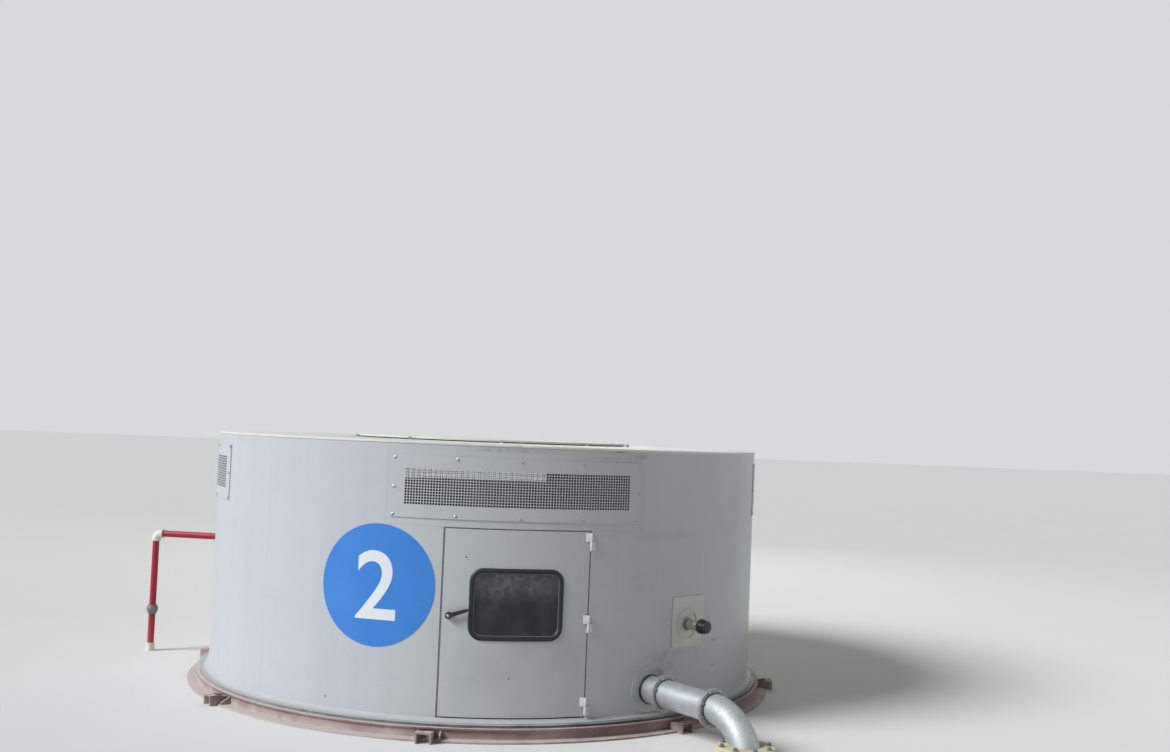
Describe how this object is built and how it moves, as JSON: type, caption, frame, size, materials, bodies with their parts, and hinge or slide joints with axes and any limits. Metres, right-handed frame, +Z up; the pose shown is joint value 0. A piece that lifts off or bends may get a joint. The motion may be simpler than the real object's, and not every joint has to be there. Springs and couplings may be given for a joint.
{
  "type": "hydroelectric generator top housing",
  "caption": "Round sheet-steel top housing of a vertical hydroelectric generator, with a hinged door with a window, air grilles, a capped hose nozzle and side pipes.",
  "frame": {"origin": "on the drum's vertical axis at floor level, the centre of the foundation bolt circle", "axes": "+Z up; the door and the front grille face -Y; +X is to the right of someone facing the door"},
  "size_m": [3.5544, 3.6612, 1.335],
  "materials": {
    "wall_paint": "semi-gloss light grey paint",
    "roof_paint": "satin off-white paint",
    "curb_primer": "matt red-oxide primer dulled by cement dust",
    "rubber": "matt black rubber",
    "grille_paint": "satin grey paint",
    "bright_steel": "turned and ground",
    "pane": "smooth tinted",
    "black_polymer": "fine grained black",
    "galvanised": "galvanised, soft sheen",
    "dark_steel": "dull grey",
    "pale_paint": "aged pale paint",
    "red_paint": "satin red paint",
    "white_polymer": "smooth white"
  },
  "bodies": {
    "housing": {"base_ring_front": "curb_primer", "base_ring_back": "curb_primer", "curb_cleats": "curb_primer", "rubber_strip": "rubber", "foot_ring": "wall_paint", "wall_over_door": "wall_paint", "wall_front_right": "wall_paint", "wall_front_left": "wall_paint", "wall_right": "wall_paint", "wall_back": "wall_paint", "wall_left": "wall_paint", "top_ring": "wall_paint", "roof_front_right": "roof_paint", "roof_back_right": "roof_paint", "roof_back_left": "roof_paint", "roof_front_left": "roof_paint", "roof_seal": "rubber", "roof_cover": "roof_paint", "grille_front": "grille_paint", "grille_right": "grille_paint", "grille_back": "grille_paint", "grille_left": "grille_paint", "door_stop": "wall_paint", "frame_knuckles": "bright_steel", "nozzle_plate": "wall_paint", "nozzle_pipe": "bright_steel", "nozzle_cap": "black_polymer", "air_pipe_collar": "wall_paint", "air_pipe": "galvanised", "clamp_rings": "dark_steel", "air_elbow": "galvanised", "floor_flange": "pale_paint", "water_riser": "red_paint", "water_run": "red_paint", "water_fittings": "white_polymer", "water_union": "dark_steel"},
    "door": {"door_panel": "wall_paint", "door_knuckles": "bright_steel", "window_gasket": "rubber", "window_pane": "pane", "handle_base": "black_polymer"},
    "handle": {"handle_lever": "black_polymer"}
  },
  "joints": [
    {"name": "door_hinge", "type": "hinge", "parent": "housing", "child": "door", "pos_m": [0.34032, -1.47115, 0.5], "axis": [0, 0, 1], "range_deg": [0, 120]},
    {"name": "handle_turn", "type": "hinge", "parent": "door", "child": "handle", "pos_m": [-0.30094, -1.4695, 0.544], "axis": [-0.2006, -0.9797, 0], "range_deg": [-90, 0]}
  ]
}
